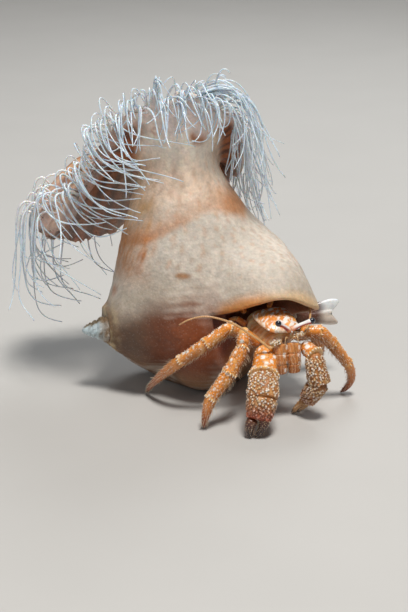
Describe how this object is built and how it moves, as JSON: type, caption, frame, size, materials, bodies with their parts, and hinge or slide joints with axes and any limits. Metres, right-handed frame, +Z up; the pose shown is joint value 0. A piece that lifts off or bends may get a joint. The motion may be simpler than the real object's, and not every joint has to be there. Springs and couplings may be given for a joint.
{
  "type": "hermit crab model",
  "caption": "Still life-size model of a deep-water hermit crab standing in the anemone-cloaked snail shell it carries, with spread legs, two claws and a crown of tentacles above",
  "frame": {"origin": "middle of the underside, on the floor", "axes": "+X to the crab's left, where the shell's canal points; -Y the way the crab faces; +Z up"},
  "size_m": [0.0876, 0.067, 0.0785],
  "materials": {
    "anemone": "moist, satin, peach with fine growth lines",
    "arm": "orange with white squares",
    "canal": "smooth, white",
    "claw": "granular, orange-tan with white-tipped grains",
    "crown": "moist, brown-orange beneath, pale at the rim",
    "dactyl": "orange to red-brown, bristled",
    "eye": "black, wet",
    "eyestalk": "white above, red below",
    "feeler": "tan, jointed",
    "finger": "red-brown, smooth at the tips",
    "leg": "glossy orange with white blotches",
    "mouthpart": "orange with white marks, hairy",
    "old_shell": "smooth, brown",
    "shield": "glossy orange with white blotches",
    "soft_body": "moist, translucent tan",
    "spire": "chalky, ridged",
    "tentacle": "translucent bluish white"
  },
  "bodies": {
    "root": {"anemone_column": "anemone", "anemone_crown": "crown", "anemone_foot": "anemone", "belly": "soft_body", "claw_left_arm": "arm", "claw_left_finger": "finger", "claw_left_palm": "claw", "claw_left_thumb": "finger", "claw_left_wrist": "claw", "claw_right_arm": "arm", "claw_right_finger": "finger", "claw_right_palm": "claw", "claw_right_thumb": "finger", "claw_right_wrist": "claw", "eye_left": "eye", "eye_right": "eye", "eyestalk_left": "eyestalk", "eyestalk_right": "eyestalk", "feeler_left": "feeler", "feeler_right": "feeler", "leg1_left_foot": "dactyl", "leg1_left_knee": "leg", "leg1_left_shin": "leg", "leg1_left_thigh": "leg", "leg1_right_foot": "dactyl", "leg1_right_knee": "leg", "leg1_right_shin": "leg", "leg1_right_thigh": "leg", "leg2_left_foot": "dactyl", "leg2_left_knee": "leg", "leg2_left_shin": "leg", "leg2_left_thigh": "leg", "leg2_right_foot": "dactyl", "leg2_right_knee": "leg", "leg2_right_shin": "leg", "leg2_right_thigh": "leg", "leg3_left": "soft_body", "leg3_right": "soft_body", "leg4_left": "soft_body", "leg4_right": "soft_body", "mouthpart_left": "mouthpart", "mouthpart_right": "mouthpart", "shell_canal": "canal", "shell_spire": "spire", "shell_whorl": "old_shell", "shield": "shield", "small_feeler_left": "feeler", "small_feeler_right": "feeler", "tentacles_1": "tentacle", "tentacles_2": "tentacle", "tentacles_3": "tentacle", "tentacles_4": "tentacle", "tentacles_5": "tentacle", "tentacles_6": "tentacle", "tentacles_7": "tentacle", "tentacles_8": "tentacle", "thorax": "soft_body"}
  },
  "joints": []
}
